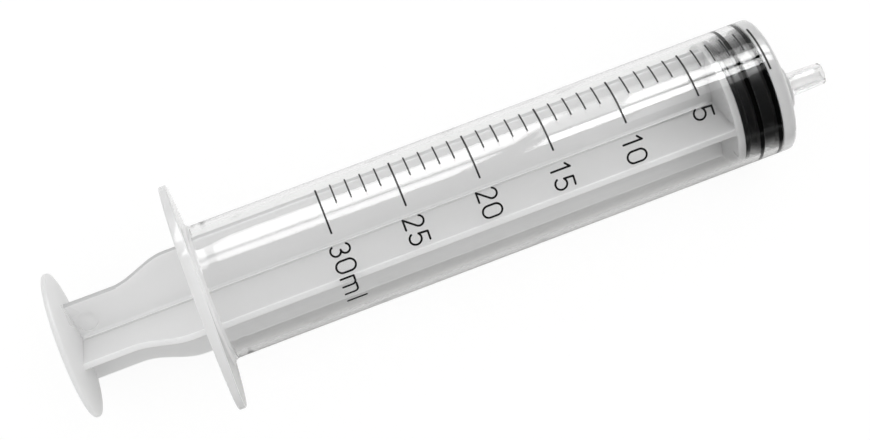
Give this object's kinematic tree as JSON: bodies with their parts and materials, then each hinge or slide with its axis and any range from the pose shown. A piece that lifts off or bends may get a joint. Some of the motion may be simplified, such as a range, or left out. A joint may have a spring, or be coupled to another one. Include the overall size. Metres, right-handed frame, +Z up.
{
  "type": "disposable syringe",
  "caption": "Clear plastic syringe with an off-centre slip nozzle, a black rubber piston, a ribbed plunger rod with a round thumb rest, and a printed volume scale.",
  "frame": {"origin": "on the barrel's axis, at the 0 ml line", "axes": "+X along the barrel's axis towards the nozzle, +Z up with the scale uppermost and the nozzle below the axis, +Y across the finger flange's wings"},
  "size_m": [0.1408, 0.0408, 0.0258],
  "materials": {
    "barrel_plastic": "clear, slightly milky polypropylene, smooth and glossy",
    "rod_plastic": "translucent natural polypropylene, smooth and glossy",
    "seal_rubber": "black moulded rubber with a thin film of silicone oil",
    "print_ink": "black pad-printed ink"
  },
  "bodies": {
    "barrel": {"barrel": "barrel_plastic", "major_graduations": "print_ink", "minor_graduations": "print_ink", "numeral_5": "print_ink", "numeral_10": "print_ink", "numeral_15": "print_ink", "numeral_20": "print_ink", "numeral_25": "print_ink", "numeral_30": "print_ink", "unit_ml": "print_ink"},
    "piston_seal": {"piston_seal": "seal_rubber"},
    "plunger_rod": {"plunger_rod": "rod_plastic"}
  },
  "joints": [
    {"name": "plunger_slide", "type": "slide", "parent": "barrel", "child": "piston_seal", "axis": [-1, 0, 0], "range_m": [0, 0.0885]},
    {"name": "plunger_turn", "type": "hinge", "parent": "piston_seal", "child": "plunger_rod", "pos_m": [0, 0, 0], "axis": [1, 0, 0], "continuous": true}
  ]
}
